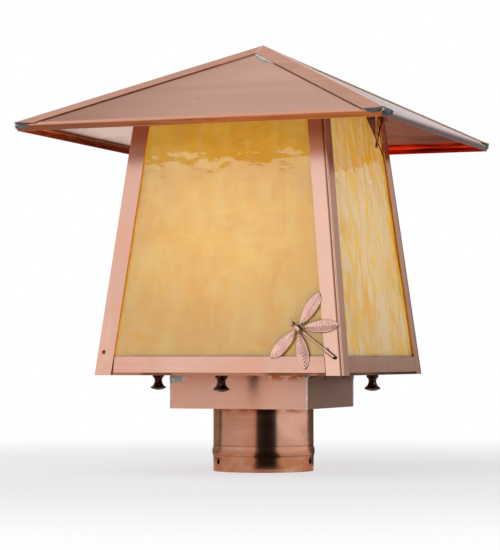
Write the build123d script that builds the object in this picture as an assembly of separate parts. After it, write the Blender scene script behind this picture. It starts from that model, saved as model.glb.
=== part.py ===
from build123d import *
import os
from math import acos, asin, atan, cos, degrees, radians, sin, sqrt, tan

# Square copper post light: a collar that slips over a post, a box, a tapered cage of
# four glazed faces, a hipped roof on two wire hinges and a lamp inside.
# Millimetres and degrees. +Z is up, the origin is the middle of the collar's lower rim,
# and the ornament is on the -Y face.

# Collar that slips over the post
post_diameter = 76.2
post_clearance = 1.6
sheet = 0.9
collar_height = 50.8
bead_center = 16.0
bead_half_height = 4.0
bead_rise = 0.9
bead_blend = 3.0
set_screw_radius = 2.4
set_screw_height = 8.1
set_screw_turns = (-132.4, -2.3, 112.6)

# Box between the collar and the cage
box_half_width = 57.7
box_height = 26.6
wire_way_radius = 30.0

# Base plate that closes the cage from below
plate_lip = 2.2
plate_clearance = 0.4

# Tapered cage
cage_half_width = 102.9
cage_taper = 0.115
leg_width = 14.0
post_bend_radius = 0.8
seam_from_edge = 2.3
seam_width = 0.6
seam_depth = 0.45
rail_height = 12.4
rail_flange = 16.0
rail_end_gap = 0.5
top_rail_height = 12.0
top_flange = 12.0

# Glass and the clips behind it
pane_thickness = 3.0
pane_inset = 5.5
pane_top_margin = 7.0
pane_gap = 0.1
clip_thickness = 0.6
clip_length = 8.0
clip_reach = 5.0
clip_gap = 0.3
clip_heights = (0.2, 0.8)

# Thumb screws that hold the cage on the base plate
knob_inset = 10.4
shank_radius = 2.05
thread_clearance = 0.08
hole_clearance = 0.35
washer_radius = 4.8
washer_thickness = 1.2
knob_height = 12.9
knob_flange_radius = 4.8
knob_flange_height = 1.9
knob_neck_radius = 3.1
knob_neck_drop = 5.0
knob_flare_radius = 6.5
knob_flare_drop = 10.4
knob_band = 0.7
nut_flats = 7.9
nut_height = 3.2
shank_tip = 1.2

# Hipped roof
roof_half_width = 149.5
eave_height = 266.5
lip_height = 5.6
lip_lean = 16.0
roof_pitch = 25.75
roof_sheet = 0.8
fold_radius = 3.0
hip_seam = 0.2
roof_seat_gap = 0.1
cap_leg = 12.7
cap_sheet = 0.8
cap_gap = 0.1

# Wire hinges at the back of the cage top
wire_radius = 0.8
pin_drop = 14.0
pin_inset = 3.1
pin_inner_length = 3.0
wire_bend = 2.0
wire_knee_run = 16.0
wire_knee_fall = 2.5
wire_run = 33.5
wire_fall = 22.0
wire_tail = 8.0
wire_tail_run = 2.5
strand_gap = 0.2
rail_hole_drop = 4.6
lug_thickness = 0.9
lug_width = 9.0
lug_below_pin = 4.5
lug_foot = 7.0
lug_standoff = 1.2
pin_fit = 0.08

# Dragonfly ornament, placed from the front face's lower right corner
ornament_from_edge = 37.0
ornament_height = 35.8
ornament_turn = -37.0
wing_length = 29.4
wing_width = 9.7
wing_near_pull = 0.30
wing_near_swell = 0.60
wing_far_pull = 0.85
wing_far_swell = 0.80
wing_sheet = 0.7
fore_wing_turn = 95.0
hind_wing_turn = 41.0
fore_wing_place = -1.0
hind_wing_place = 1.6
wing_root_offset = 2.0
solder_film = 0.05
thorax_length = 10.0
thorax_radius = 2.3
eye_radius = 1.9
antenna_radius = 0.4
antenna_length = 6.5
antenna_spread = 28.0
tail_radius = 1.05
tail_length = 33.0
tail_tip_radius = 1.7
tail_tip_length = 10.5

# Lamp holder on its threaded tube
tube_radius = 5.0
tube_bore = 3.4
tube_below = 6.0
tube_above = 8.0
locknut_flats = 15.0
locknut_height = 3.5
holder_radius = 19.5
holder_height = 42.0
holder_floor = 12.0
holder_rim = 3.0
shell_wall = 0.5
shell_height = 25.0
shell_below_rim = 2.5
contact_radius = 6.0
contact_sheet = 0.8
contact_button_radius = 2.5
contact_button_height = 2.2
holder_fit = 0.05

# Lamp
lamp_cap_radius = 13.0
lamp_cap_height = 25.0
lamp_cap_wall = 0.6
lamp_tip_radius = 4.5
lamp_tip_height = 1.2
lamp_cone_height = 3.8
lamp_fit = 0.1
bulb_radius = 30.0
bulb_rise = 48.0
bulb_wall = 0.9
bulb_seat = 9.0

# Levels and slopes that follow from the driving dimensions
lean = atan(cage_taper)
pitch = radians(roof_pitch)
roof_slope = tan(pitch)
cage_bottom = collar_height + box_height
plate_top = cage_bottom + plate_lip
plate_under = plate_top - sheet
flange_top = plate_top + sheet
fold_level = eave_height + lip_height
apex = fold_level + roof_half_width * roof_slope
underside_apex = apex - roof_sheet / cos(pitch)
seat_apex = underside_apex - roof_seat_gap
edge_turn = atan(sin(lean))


def cage_half(level):
    return cage_half_width - cage_taper * (level - cage_bottom)


# The cage's top edge is where a face meets the roof's seat.
cage_top = seat_apex - roof_slope * cage_half(0)
cage_top /= 1 - roof_slope * cage_taper
face_length = (cage_top - cage_bottom) / cos(lean)
front_face = Plane(
    origin=(0, -cage_half_width, cage_bottom), x_dir=(1, 0, 0), z_dir=(0, -cos(lean), sin(lean))
)


def around(piece, quarter):
    return Rot(0, 0, 90 * quarter) * piece


def face_half(up):
    # Half the front face's width at a distance up its slope
    return cage_half_width - up * sin(lean)


def face_prism(points, low, high):
    # Outline on the front face, from one depth to another along its outward normal
    outline = front_face * Pos(0, 0, low) * Polygon(*points, align=None)
    return extrude(outline, amount=high - low, dir=front_face.z_dir)


def pyramid(top, base):
    # Four-sided pyramid with the roof's pitch
    reach = (top - base) / roof_slope
    gable = Polygon((-reach, base), (reach, base), (0, top), align=None)
    across = extrude(Plane.YZ * gable, amount=reach, both=True)
    along = extrude(Plane.XZ * gable, amount=reach, both=True)
    return across & along


def front_sector(gap):
    # Everything nearer to the front than to the other sides, less half a gap at the diagonals
    shift = gap / sqrt(2)
    reach = 2 * roof_half_width
    outline = Polygon((0, -shift), (reach, -reach - shift), (-reach, -reach - shift), align=None)
    return extrude(outline, amount=apex + reach, dir=(0, 0, 1))


def rod(radius, base, height):
    return Pos(0, 0, base) * Cylinder(radius, height, align=(Align.CENTER, Align.CENTER, Align.MIN))


def ring(outer, inner, base, height):
    return rod(outer, base, height) - rod(inner, base, height)


def square_block(half, base, height):
    return Pos(0, 0, base) * Box(2 * half, 2 * half, height, align=(Align.CENTER, Align.CENTER, Align.MIN))


def hex_nut(flats, bore, base, height):
    blank = extrude(RegularPolygon(flats / sqrt(3), 6, rotation=30), amount=height)
    return Pos(0, 0, base) * (blank - Cylinder(bore, 3 * height))


def upright_hole(radius, x, y, level):
    return Pos(x, y, level) * Cylinder(radius, 6 * sheet)


# Collar, box and base plate

collar_bore = post_diameter / 2 + post_clearance
collar_radius = collar_bore + sheet


def make_collar():
    bead_low = bead_center - bead_half_height
    bead_high = bead_center + bead_half_height
    outline = Curve() + [
        Line((collar_bore, 0), (collar_radius, 0)),
        Line((collar_radius, 0), (collar_radius, bead_low)),
        ThreePointArc(
            (collar_radius, bead_low), (collar_radius + bead_rise, bead_center), (collar_radius, bead_high)
        ),
        Line((collar_radius, bead_high), (collar_radius, collar_height)),
        Line((collar_radius, collar_height), (collar_bore, collar_height)),
        Line((collar_bore, collar_height), (collar_bore, bead_high)),
        ThreePointArc(
            (collar_bore, bead_high), (collar_bore + bead_rise, bead_center), (collar_bore, bead_low)
        ),
        Line((collar_bore, bead_low), (collar_bore, 0)),
    ]
    wall = make_face(outline)
    bead_ends = [v for v in wall.vertices() if 0 < v.Y < collar_height]
    collar = revolve(Plane.XZ * fillet(bead_ends, bead_blend), Axis.Z)
    drill = Cylinder(set_screw_radius, 2 * collar_radius, rotation=(0, 90, 0))
    drill = Pos(collar_radius, 0, set_screw_height) * drill
    for turn in set_screw_turns:
        collar -= Rot(0, 0, turn) * drill
    return collar


def make_box_walls():
    height = plate_under - collar_height
    outer = square_block(box_half_width, collar_height, height)
    return outer - square_block(box_half_width - sheet, collar_height, height)


def make_box_floor():
    floor = square_block(box_half_width - sheet, collar_height, sheet)
    return floor - upright_hole(wire_way_radius, 0, 0, collar_height)


plate_half = cage_half(plate_top) - sheet / cos(lean) - plate_clearance
knob_axis = cage_half_width - knob_inset


def make_base_plate():
    plate = square_block(plate_half, cage_bottom, plate_lip)
    plate -= square_block(plate_half - sheet, cage_bottom, plate_lip - sheet)
    plate -= upright_hole(tube_radius + hole_clearance, 0, 0, plate_top)
    for quarter in range(4):
        plate -= around(upright_hole(shank_radius + hole_clearance, 0, -knob_axis, plate_top), quarter)
    return plate


# Cage frame

corner_step = leg_width / cos(edge_turn)
seam_step = seam_from_edge / cos(edge_turn)
overrun = 2 * leg_width
wire_hole = wire_radius + hole_clearance
pin_level = cage_top - pin_drop
pin_back = cage_half(pin_level) - pin_inset
rail_hole_level = cage_top - rail_hole_drop
rail_hole_back = pin_back - wire_run


def edge_strip(from_edge, width, low, high):
    # Strip along the front face's right-hand edge
    points = [
        (face_half(-overrun) - from_edge, -overrun),
        (face_half(face_length + overrun) - from_edge, face_length + overrun),
        (face_half(face_length + overrun) - from_edge - width, face_length + overrun),
        (face_half(-overrun) - from_edge - width, -overrun),
    ]
    return face_prism(points, low, high)


def make_front_right_post():
    leg = edge_strip(0, corner_step, -sheet, 0)
    side_leg = around(mirror(leg, about=Plane.YZ), 1)
    post = leg + side_leg
    middle = (cage_bottom + cage_top) / 2
    corner = Vector(cage_half(middle), -cage_half(middle), middle)
    post = fillet(post.edges().sort_by_distance(corner)[0], post_bend_radius)
    post -= edge_strip(seam_step, seam_width, -seam_depth, sheet)
    return post & pyramid(seat_apex, cage_bottom)


def make_post(quarter):
    post = around(make_front_right_post(), quarter)
    for side in (-1, 1):
        drill = Cylinder(wire_hole, 2 * leg_width, rotation=(0, 90, 0))
        post -= Pos(side * cage_half(pin_level), pin_back, pin_level) * drill
    return post


def between_posts():
    low = -overrun
    high = face_length + overrun
    inset = corner_step + rail_end_gap
    points = [
        (face_half(low) - inset, low),
        (face_half(high) - inset, high),
        (inset - face_half(high), high),
        (inset - face_half(low), low),
    ]
    return face_prism(points, -3 * overrun, overrun)


def make_rail(section):
    rail = extrude(Plane.YZ * Polygon(*section, align=None), amount=cage_half_width, both=True)
    return rail & between_posts() & front_sector(rail_end_gap)


def make_bottom_rail():
    edge = -cage_half(plate_top)
    rise = rail_height * cos(lean)
    top_edge = edge + rail_height * sin(lean)
    inner = sheet / cos(lean)
    section = [
        (edge, plate_top),
        (top_edge, plate_top + rise),
        (top_edge + sheet * cos(lean), plate_top + rise - sheet * sin(lean)),
        (-cage_half(flange_top) + inner, flange_top),
        (edge + rail_flange, flange_top),
        (edge + rail_flange, plate_top),
    ]
    hole = upright_hole(shank_radius + hole_clearance, 0, -knob_axis, plate_top)
    return make_rail(section) - hole


def make_top_rail(quarter):
    edge = -cage_half(cage_top)
    low_edge = edge - top_rail_height * sin(lean)
    low = cage_top - top_rail_height * cos(lean)
    # Where the inner side of the face meets the lower side of the flange
    flange_apex = seat_apex - sheet / cos(pitch)
    bend = flange_apex - roof_slope * (cage_half(0) - sheet / cos(lean))
    bend /= 1 - roof_slope * cage_taper
    section = [
        (low_edge, low),
        (edge, cage_top),
        (edge + top_flange * cos(pitch), cage_top + top_flange * sin(pitch)),
        (
            edge + top_flange * cos(pitch) + sheet * sin(pitch),
            cage_top + top_flange * sin(pitch) - sheet * cos(pitch),
        ),
        (-cage_half(bend) + sheet / cos(lean), bend),
        (low_edge + sheet * cos(lean), low - sheet * sin(lean)),
    ]
    rail = around(make_rail(section), quarter)
    for side in (-1, 1):
        drill = Cylinder(wire_hole, 2 * leg_width, rotation=(0, 90, 0))
        rail -= Pos(side * cage_half(rail_hole_level), rail_hole_back, rail_hole_level) * drill
    return rail


# Glass

pane_front = sheet + pane_gap
pane_back = pane_front + pane_thickness
pane_low = (flange_top + pane_gap - cage_bottom + pane_back * sin(lean)) / cos(lean)
pane_high = face_length - pane_top_margin


def make_pane():
    points = [
        (face_half(pane_low) - pane_inset, pane_low),
        (face_half(pane_high) - pane_inset, pane_high),
        (pane_inset - face_half(pane_high), pane_high),
        (pane_inset - face_half(pane_low), pane_low),
    ]
    return face_prism(points, -pane_back, -pane_front)


def make_clip(height):
    # Bent tab: one leg stands on the corner post, the other laps over the back of the pane
    up = pane_low + height * (pane_high - pane_low)
    edge = face_half(up) - pane_inset
    depth = pane_back + pane_gap + clip_thickness
    wall = Pos(clip_gap, 0, -sheet) * Box(
        clip_thickness, clip_length, depth - sheet, align=(Align.MIN, Align.CENTER, Align.MAX)
    )
    lap = Pos(clip_gap + clip_thickness, 0, -depth) * Box(
        clip_reach, clip_length, clip_thickness, align=(Align.MAX, Align.CENTER, Align.MIN)
    )
    tab = Rot(0, 0, degrees(edge_turn)) * (wall + lap)
    return front_face * Pos(edge, up, 0) * tab


def make_clips():
    clips = []
    for quarter in range(4):
        for height in clip_heights:
            clip = make_clip(height)
            clips.append(around(clip, quarter))
            clips.append(around(mirror(clip, about=Plane.YZ), quarter))
    return Compound(children=clips)


# Thumb screws, washers and nuts

washer_under = plate_under - washer_thickness
shank_length = flange_top + nut_height + shank_tip - washer_under


def make_washer():
    washer = ring(washer_radius, shank_radius + thread_clearance, washer_under, washer_thickness)
    return Pos(0, -knob_axis, 0) * washer


def make_knob():
    shoulder = (knob_flange_radius, -knob_flange_height)
    neck = (knob_neck_radius, -knob_neck_drop)
    flare = (knob_flare_radius, -knob_flare_drop)
    band = (knob_flare_radius, -knob_flare_drop - knob_band)
    foot = (0, -knob_height)
    # The foot is a shallow dome centred on the screw's axis.
    sag = knob_height - knob_flare_drop - knob_band
    dome_radius = (knob_flare_radius**2 + sag**2) / (2 * sag)
    half_turn = asin(knob_flare_radius / dome_radius) / 2
    dome = (dome_radius * sin(half_turn), dome_radius * (1 - cos(half_turn)) - knob_height)
    outline = Curve() + [
        Line((0, shank_length), (shank_radius, shank_length)),
        Line((shank_radius, shank_length), (shank_radius, 0)),
        Line((shank_radius, 0), (knob_flange_radius, 0)),
        Line((knob_flange_radius, 0), shoulder),
        TangentArc(neck, shoulder, tangent=(0, 1)),
        TangentArc(neck, flare, tangent=(0, -1)),
        Line(flare, band),
        ThreePointArc(band, dome, foot),
        Line(foot, (0, shank_length)),
    ]
    knob = revolve(Plane.XZ * make_face(outline), Axis.Z)
    return Pos(0, -knob_axis, washer_under) * knob


def make_nuts():
    nut = hex_nut(nut_flats, shank_radius + thread_clearance, flange_top, nut_height)
    return Compound(children=[around(Pos(0, -knob_axis, 0) * nut, quarter) for quarter in range(4)])


# Roof

def make_roof_panel():
    # The lip turns down at the eave and leans in.
    half = roof_half_width
    lean_in = tan(radians(lip_lean))
    inner_edge = roof_sheet / cos(radians(lip_lean)) - half
    inner_level = underside_apex + roof_slope * (inner_edge + lean_in * fold_level)
    inner_level /= 1 + roof_slope * lean_in
    outer_fold = (-half, fold_level)
    inner_fold = (inner_edge + lean_in * (fold_level - inner_level), inner_level)
    section = Polygon(
        (lean_in * lip_height - half, eave_height),
        outer_fold,
        (0, apex),
        (0, underside_apex),
        inner_fold,
        (lean_in * lip_height + inner_edge, eave_height),
        align=None,
    )
    section = fillet(section.vertices().sort_by_distance(Vector(*outer_fold))[0], fold_radius)
    inner_corner = section.vertices().sort_by_distance(Vector(*inner_fold))[0]
    section = fillet(inner_corner, fold_radius - roof_sheet)
    panel = extrude(Plane.YZ * section, amount=half, both=True)
    return panel & front_sector(hip_seam)


def make_hip_cap():
    # V strip over the front right hip, mitred at the apex and flush with the eaves
    fall = acos(cos(pitch) ** 2) / 2
    inner = cap_gap
    outer = cap_gap + cap_sheet
    tip = (cap_leg * cos(fall), -cap_leg * sin(fall))
    points = [
        (0, inner / cos(fall)),
        (tip[0] + inner * sin(fall), tip[1] + inner * cos(fall)),
        (tip[0] + outer * sin(fall), tip[1] + outer * cos(fall)),
        (0, outer / cos(fall)),
        (-tip[0] - outer * sin(fall), tip[1] + outer * cos(fall)),
        (-tip[0] - inner * sin(fall), tip[1] + inner * cos(fall)),
    ]
    down = Vector(1, -1, -roof_slope)
    start = Vector(0, 0, apex) - down * cap_leg
    across = Plane(origin=start, x_dir=(1, 1, 0), z_dir=down)
    length = down.length * (roof_half_width + 2 * cap_leg)
    strip = extrude(across * Polygon(*points, align=None), amount=length, dir=down)
    shift = hip_seam / 2
    reach = roof_half_width - shift
    quarter = Box(reach, reach, 2 * apex, align=(Align.MIN, Align.MAX, Align.MIN))
    return strip & (Pos(shift, -shift, 0) * quarter)


# Wire hinges

lug_near = cage_half(pin_level - lug_below_pin) + lug_standoff


def make_lug():
    # Bracket soldered under the right-hand roof panel, with an ear for the wire
    far = lug_near + lug_thickness
    foot_x = lug_foot * cos(pitch)
    under_near = seat_apex - roof_slope * lug_near
    under_far = seat_apex - roof_slope * far
    ear_low = pin_level - lug_below_pin
    drop = lug_thickness / cos(pitch)
    section = Polygon(
        (lug_near, ear_low),
        (far, ear_low),
        (far, under_far - drop),
        (far + foot_x, under_far - drop - roof_slope * foot_x),
        (far + foot_x, under_far - roof_slope * foot_x),
        (lug_near, under_near),
        align=None,
    )
    lug = extrude(Plane.XZ * section, amount=lug_width / 2, both=True)
    drill = Cylinder(wire_radius + pin_fit, 6 * lug_thickness, rotation=(0, 90, 0))
    return Pos(0, pin_back, 0) * lug - Pos(lug_near, pin_back, pin_level) * drill


def make_wire(points):
    path = FilletPolyline(*points, radius=wire_bend)
    profile = Plane(path @ 0, z_dir=path % 0) * Circle(wire_radius)
    return sweep(profile, path=path)


def make_wire_tie():
    outside = lug_near + lug_thickness + wire_bend + strand_gap
    beside = outside + 2 * wire_radius + strand_gap
    knee = (pin_back - wire_knee_run, pin_level - wire_knee_fall)
    twist = (rail_hole_back, pin_level - wire_fall)
    end = (twist[0] - wire_tail_run, twist[1] - wire_tail)
    pin_strand = make_wire([
        (cage_half(pin_level) - pin_inner_length, pin_back, pin_level),
        (outside, pin_back, pin_level),
        (outside, *knee),
        (outside, *twist),
        (outside, *end),
    ])
    rail_strand = make_wire([
        (cage_half(rail_hole_level) - pin_inner_length, rail_hole_back, rail_hole_level),
        (beside, rail_hole_back, rail_hole_level),
        (beside, *twist),
        (beside, *end),
    ])
    return Compound(children=[pin_strand, rail_strand])


# Dragonfly ornament, drawn on the front face with its head at the upper left

wing_base = solder_film
wing_face = wing_base + wing_sheet
body_level = wing_face + solder_film + thorax_radius
tail_level = solder_film + tail_tip_radius
ornament = (
    front_face
    * Pos(cage_half_width - ornament_from_edge, ornament_height, 0)
    * Rot(0, 0, ornament_turn)
)


def make_wing(place, turn, side):
    root = (0, 0)
    tip = (wing_length, 0)
    swell_near = (wing_near_pull * wing_length, wing_near_swell * wing_width)
    swell_far = (wing_far_pull * wing_length, wing_far_swell * wing_width)
    lead = Bezier(root, swell_near, swell_far, tip)
    trail = mirror(lead, about=Plane.XZ)
    wing = extrude(make_face(Curve() + [lead, trail]), amount=wing_sheet, dir=(0, 0, 1))
    return ornament * Pos(place, side * wing_root_offset, wing_base) * Rot(0, 0, side * turn) * wing


def lying_rod(radius, start, length):
    # Round bar along the ornament's spine
    bar = Cylinder(radius, length, rotation=(0, 90, 0), align=(Align.CENTER, Align.CENTER, Align.MIN))
    return Pos(start, 0, 0) * bar


def make_body():
    half = thorax_length / 2
    back = EllipticalCenterArc((0, 0), half, thorax_radius, start_angle=0, arc_size=180)
    thorax = revolve(make_face(Curve() + [back, Line(back @ 1, back @ 0)]), Axis.X)
    face = -half - eye_radius / 2
    body = thorax + Pos(face, 0, 0) * Sphere(eye_radius)
    for side in (-1, 1):
        body += Pos(face, 0, 0) * Rot(0, 0, 180 + side * antenna_spread) * lying_rod(
            antenna_radius, 0, antenna_length
        )
    return ornament * Pos(0, 0, body_level) * body


def make_tail():
    start = thorax_length / 2 + solder_film
    tip_start = start + tail_length - tail_tip_length
    tail = lying_rod(tail_radius, start, tail_length)
    tail += lying_rod(tail_tip_radius, tip_start, tail_tip_length)
    return ornament * Pos(0, 0, tail_level) * tail


# Lamp holder and lamp

holder_base = plate_top + locknut_height
holder_cavity = holder_base + holder_floor
holder_top = holder_base + holder_height
shell_bore = lamp_cap_radius + lamp_fit
shell_radius = shell_bore + shell_wall
shell_top = holder_top - shell_below_rim
lamp_base = holder_cavity + contact_sheet + contact_button_height
cap_base = lamp_base + lamp_tip_height
cap_top = cap_base + lamp_cap_height


def make_tube():
    low = plate_under - locknut_height - tube_below
    return ring(tube_radius, tube_bore, low, holder_base + tube_above - low)


def make_locknut(base):
    return hex_nut(locknut_flats, tube_radius + holder_fit, base, locknut_height)


def make_holder():
    low = holder_base
    outline = Polyline(
        (tube_radius + holder_fit, low),
        (holder_radius - holder_rim, low),
        (holder_radius, low + holder_floor),
        (holder_radius, holder_top - holder_rim),
        (holder_radius - holder_rim, holder_top),
        (shell_radius + holder_fit, holder_top),
        (shell_radius + holder_fit, holder_cavity),
        (tube_radius + holder_fit, holder_cavity),
        close=True,
    )
    return revolve(Plane.XZ * make_face(outline), Axis.Z)


def make_contact():
    disc = rod(contact_radius, holder_cavity, contact_sheet)
    return disc + rod(contact_button_radius, holder_cavity, contact_sheet + contact_button_height)


def make_lamp_cap():
    seat = cap_top - bulb_seat
    cup = lamp_cap_radius - lamp_cap_wall
    outline = Polyline(
        (0, cap_base),
        (lamp_tip_radius, cap_base),
        (lamp_cap_radius, cap_base + lamp_cone_height),
        (lamp_cap_radius, cap_top),
        (cup, cap_top),
        (cup, seat),
        (0, seat),
        close=True,
    )
    return revolve(Plane.XZ * make_face(outline), Axis.Z)


def bulb_outline(wall):
    # Neck that swells into a ball, or the hollow inside it
    neck = lamp_cap_radius - lamp_cap_wall - holder_fit - wall
    ball = bulb_radius - wall
    center = cap_top + bulb_rise
    low = cap_top - bulb_seat + holder_fit
    # The neck's straight flank is tangent to the ball.
    neck_top = cap_top + holder_fit
    reach = sqrt(neck**2 + (center - neck_top) ** 2)
    turn = acos(ball / reach) + asin(neck / reach)
    touch = (ball * sin(turn), center - ball * cos(turn))
    waist = (ball, center)
    lines = Curve() + [
        Line((0, low), (neck, low)),
        Line((neck, low), (neck, neck_top)),
        Line((neck, neck_top), touch),
        ThreePointArc(touch, waist, (0, center + ball)),
        Line((0, center + ball), (0, low)),
    ]
    return revolve(Plane.XZ * make_face(lines), Axis.Z)


def make_bulb():
    return bulb_outline(0) - bulb_outline(bulb_wall)


sides = ("front", "right", "back", "left")
corners = ("front_right", "back_right", "back_left", "front_left")

nodes = {
    "post_collar": make_collar(),
    "box_walls": make_box_walls(),
    "box_floor": make_box_floor(),
    "base_plate": make_base_plate(),
    "threaded_tube": make_tube(),
    "lower_locknut": make_locknut(plate_under - locknut_height),
    "upper_locknut": make_locknut(plate_top),
    "lamp_holder": make_holder(),
    "screw_shell": ring(shell_radius, shell_bore, shell_top - shell_height, shell_height),
    "center_contact": make_contact(),
    "lamp_tip": rod(lamp_tip_radius, lamp_base, lamp_tip_height),
    "lamp_cap": make_lamp_cap(),
    "lamp_bulb": make_bulb(),
    "glass_clips": make_clips(),
    "screw_nuts": make_nuts(),
    "fore_wing_upper": make_wing(fore_wing_place, fore_wing_turn, 1),
    "fore_wing_lower": make_wing(fore_wing_place, fore_wing_turn, -1),
    "hind_wing_upper": make_wing(hind_wing_place, hind_wing_turn, 1),
    "hind_wing_lower": make_wing(hind_wing_place, hind_wing_turn, -1),
    "dragonfly_body": make_body(),
    "dragonfly_tail": make_tail(),
    "wire_tie_right": make_wire_tie(),
    "wire_tie_left": mirror(make_wire_tie(), about=Plane.YZ),
    "roof_lug_right": make_lug(),
    "roof_lug_left": mirror(make_lug(), about=Plane.YZ),
}

for quarter, side in enumerate(sides):
    nodes["bottom_rail_" + side] = around(make_bottom_rail(), quarter)
    nodes["top_rail_" + side] = make_top_rail(quarter)
    nodes["glass_pane_" + side] = around(make_pane(), quarter)
    nodes["screw_washer_" + side] = around(make_washer(), quarter)
    nodes["thumb_screw_" + side] = around(make_knob(), quarter)
    nodes["roof_panel_" + side] = around(make_roof_panel(), quarter)

for quarter, corner in enumerate(corners):
    nodes["corner_post_" + corner] = make_post(quarter)
    nodes["hip_cap_" + corner] = around(make_hip_cap(), quarter)

os.makedirs("parts", exist_ok=True)
for name, shape in nodes.items():
    export_step(shape, "parts/" + name + ".step")
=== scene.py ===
import bmesh
import bpy
from functools import partial
from math import atan, cos, exp, hypot, pi, radians, sin, sqrt, tan
from mathutils import Matrix, Vector, noise


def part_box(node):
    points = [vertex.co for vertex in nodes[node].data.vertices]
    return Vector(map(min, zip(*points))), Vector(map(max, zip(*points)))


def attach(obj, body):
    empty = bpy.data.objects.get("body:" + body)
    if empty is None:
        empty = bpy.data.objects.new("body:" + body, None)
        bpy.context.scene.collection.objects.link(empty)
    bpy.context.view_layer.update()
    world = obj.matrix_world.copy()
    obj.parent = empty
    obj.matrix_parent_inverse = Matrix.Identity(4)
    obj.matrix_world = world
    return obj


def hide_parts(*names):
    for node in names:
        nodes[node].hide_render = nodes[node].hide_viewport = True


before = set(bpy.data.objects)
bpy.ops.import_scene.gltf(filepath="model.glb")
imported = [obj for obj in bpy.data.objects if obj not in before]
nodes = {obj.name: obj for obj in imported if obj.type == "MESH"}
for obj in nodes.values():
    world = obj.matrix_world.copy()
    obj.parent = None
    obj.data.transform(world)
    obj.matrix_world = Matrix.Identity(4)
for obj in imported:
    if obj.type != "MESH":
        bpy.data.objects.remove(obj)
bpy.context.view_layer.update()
mm = 0.001
sides = ("front", "right", "back", "left")
corners = ("front_right", "back_right", "back_left", "front_left")
print("frame loaded:", len(nodes), "nodes")


def inMetres(span):
    return [end * mm for end in span]


# Shader helpers: they fill the node tree that startTree was last given

work = {}


def startTree(owner):
    owner.use_nodes = True
    work["tree"] = owner.node_tree
    work["tree"].nodes.clear()
    return owner


def newMaterial(name):
    return startTree(bpy.data.materials.new(name))


def addNode(kind, values=None, **options):
    # values: socket name or number -> constant, or the socket that feeds it
    node = work["tree"].nodes.new("ShaderNode" + kind)
    for option, value in options.items():
        setattr(node, option, value)
    for key, value in (values or {}).items():
        socket = node.inputs[key]
        if isinstance(value, bpy.types.NodeSocket):
            work["tree"].links.new(value, socket)
        else:
            socket.default_value = value
    return node


def coords():
    made = addNode("TexCoord").outputs
    return made["Object"], made["Normal"]


def parts(vector):
    return addNode("SeparateXYZ", {0: vector}).outputs


def stretched(vector, scale, turn=(0, 0, 0), shift=(0, 0, 0)):
    made = addNode("Mapping", {
        "Vector": vector, "Scale": scale, "Rotation": turn, "Location": shift})
    return made.outputs["Vector"]


def toFront(vector, quarter):
    # turns a side's coordinates or normals to where the front's are
    return stretched(vector, (1, 1, 1), (0, 0, -quarter * pi / 2))


def vectorMaths(operation, values, output=0):
    return addNode("VectorMath", values, operation=operation).outputs[output]


def lengthOf(vector):
    return vectorMaths("LENGTH", {0: vector}, "Value")


def dotOf(first, second):
    return vectorMaths("DOT_PRODUCT", {0: first, 1: second}, "Value")


def maths(operation, first, second=0.0):
    return addNode("Math", {0: first, 1: second}, operation=operation).outputs[0]


def times(first, second):
    return maths("MULTIPLY", first, second)


def noiseOf(vector, scale, detail=3.0, rough=0.5, warp=0.0):
    # scale: one number, or one for each axis
    if isinstance(scale, tuple):
        vector, scale = stretched(vector, scale), 1.0
    made = addNode("TexNoise", {
        "Vector": vector, "Scale": scale, "Detail": detail, "Roughness": rough, "Distortion": warp})
    return made.outputs["Fac"]


def ramp(value, low, high, toLow=0.0, toHigh=1.0, smooth=True):
    made = addNode("MapRange", {
        "Value": value, "From Min": low, "From Max": high, "To Min": toLow, "To Max": toHigh},
        interpolation_type="SMOOTHSTEP" if smooth else "LINEAR")
    return made.outputs["Result"]


def tint(share, first, second):
    # colour that goes from first to second as share goes from 0 to 1
    first, second = ((*color, 1.0) if isinstance(color, tuple) else color for color in (first, second))
    return addNode("Mix", {0: share, 6: first, 7: second}, data_type="RGBA").outputs[2]


def wash(color, other, value, low, high, share=1.0):
    # colour that goes over to the other as value goes from low to high, by share at most
    return tint(ramp(value, low, high, 0.0, share), color, other)


def bump(height, strength, distance, soften=None):
    values = {"Height": height, "Strength": strength, "Distance": distance}
    if soften:
        # shallower forms: the normal's parts are scaled
        normal = addNode("NewGeometry").outputs["Normal"]
        normal = vectorMaths("MULTIPLY", {0: normal, 1: soften})
        values["Normal"] = vectorMaths("NORMALIZE", {0: normal})
    return addNode("Bump", values).outputs["Normal"]


def finishTree(shader, kind="Material"):
    addNode("Output" + kind, {"Surface": shader.outputs[0]})


def surface(values):
    finishTree(addNode("BsdfPrincipled", values))


# Copper sheet: cloudy tints, small stains, a red blush and brushed lines along the strip

copperLook = {
    "pale": (0.85, 0.52, 0.405), "deep": (0.77, 0.45, 0.345), "stain": (0.57, 0.29, 0.19),
    "line": (0.72, 0.42, 0.33), "edge": (0.95, 0.80, 0.74, 1.0), "grain": (6, 900, 900),
    "cloud": (14, 14, 14), "speckScale": 45.0, "speck": 0.3, "blushScale": 19.0, "blush": 0.65,
    "blushTint": (0.82, 0.42, 0.29), "lineTint": 0.3, "lineDepth": 0.04, "rough": (0.17, 0.25),
    "brushed": 0.55, "spin": 0.25, "dull": 0.0, "soften": None, "marks": ()}
bumpStep = 0.1 * mm
facingDown = (-0.5, -0.8)


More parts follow.
